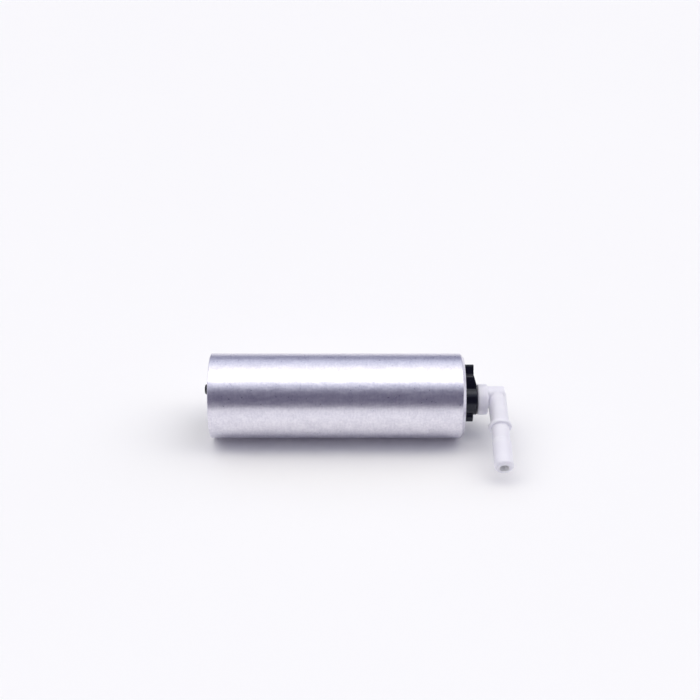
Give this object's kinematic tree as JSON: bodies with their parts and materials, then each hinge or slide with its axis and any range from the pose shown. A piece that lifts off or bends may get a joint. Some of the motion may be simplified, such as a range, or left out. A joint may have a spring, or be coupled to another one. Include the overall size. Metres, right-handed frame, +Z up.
{
  "type": "in-tank fuel pump",
  "caption": "Electric in-tank fuel pump: rolled aluminium can with an internal gear pump, brushed motor, black outlet head and a white elbow with a quick-connect spigot.",
  "frame": {"origin": "middle of the can's length, on the can's axis", "axes": "+X along the can's axis from the inlet end to the outlet elbow, +Z up and +Y to the back with the pump lying on its side; the elbow's leg points to the front, -Y, and 14 degrees down"},
  "size_m": [0.1544, 0.0672, 0.043],
  "materials": {
    "can": "satin drawn tube",
    "black_plastic": "moulded, semi-matt",
    "white_plastic": "moulded, natural white",
    "natural_plastic": "moulded",
    "steel": "ground",
    "sintered_steel": "sintered",
    "zinc_steel": "zinc plated",
    "spring_steel": "drawn",
    "ferrite": "sintered, matt",
    "copper": "bare and enamelled copper",
    "brass": "turned",
    "carbon": "pressed carbon",
    "phenolic": "moulded",
    "rubber": "moulded"
  },
  "bodies": {
    "casing": {"can": "can", "inlet_cover": "black_plastic", "chamber_ring": "steel", "port_plate": "steel", "front_bush": "carbon", "flux_ring": "zinc_steel", "upper_magnet": "ferrite", "lower_magnet": "ferrite", "magnet_clips": "spring_steel", "brush_plate": "black_plastic", "rear_bush": "carbon", "brush_guides": "brass", "spring_caps": "brass", "rear_brush_spring": "spring_steel", "front_brush_spring": "spring_steel", "choke_cores": "ferrite", "choke_windings": "copper", "positive_terminal": "brass", "negative_terminal": "brass", "outlet_head": "black_plastic", "head_seal": "rubber", "valve_seat": "brass", "check_spring": "spring_steel", "valve_guide": "natural_plastic", "relief_spring": "spring_steel", "relief_plug": "brass"},
    "rotor": {"inner_gear": "sintered_steel", "drive_coupling": "natural_plastic", "shaft": "steel", "armature_core": "steel", "core_insulators": "phenolic", "windings": "copper", "commutator_hub": "phenolic", "commutator_bars": "copper", "thrust_washers": "natural_plastic"},
    "ring_gear": {"outer_gear": "sintered_steel"},
    "rear_brush": {"rear_brush": "carbon"},
    "front_brush": {"front_brush": "carbon"},
    "check_poppet": {"check_poppet": "natural_plastic"},
    "relief_ball": {"relief_ball": "steel"},
    "elbow": {"elbow": "white_plastic", "elbow_seal": "rubber"}
  },
  "joints": [
    {"name": "rotor_spin", "type": "hinge", "parent": "casing", "child": "rotor", "pos_m": [0, 0, 0], "axis": [1, 0, 0], "continuous": true},
    {"name": "ring_gear_spin", "type": "hinge", "parent": "casing", "child": "ring_gear", "pos_m": [-0.05096, 0.0013, 0], "axis": [1, 0, 0], "continuous": true},
    {"name": "rear_brush_slide", "type": "slide", "parent": "casing", "child": "rear_brush", "axis": [0, 1, 0], "range_m": [0, 0.002], "stiffness_N_per_m": 250, "springref_m": -0.002, "deforming": ["rear_brush_spring"]},
    {"name": "front_brush_slide", "type": "slide", "parent": "casing", "child": "front_brush", "axis": [0, -1, 0], "range_m": [0, 0.002], "stiffness_N_per_m": 250, "springref_m": -0.002, "deforming": ["front_brush_spring"]},
    {"name": "check_valve_slide", "type": "slide", "parent": "casing", "child": "check_poppet", "axis": [1, 0, 0], "range_m": [0, 0.002], "stiffness_N_per_m": 150, "springref_m": -0.001, "deforming": ["check_spring"]},
    {"name": "relief_valve_slide", "type": "slide", "parent": "casing", "child": "relief_ball", "axis": [1, 0, 0], "range_m": [0, 0.0015], "stiffness_N_per_m": 400, "springref_m": -0.003, "deforming": ["relief_spring"]},
    {"name": "elbow_swivel", "type": "hinge", "parent": "casing", "child": "elbow", "pos_m": [0.0711, -0.00111, -0.00154], "axis": [1, 0, 0], "continuous": true}
  ],
  "couplings": [
    {"joint": "ring_gear_spin", "follows": "rotor_spin", "ratio": 0.85714}
  ]
}
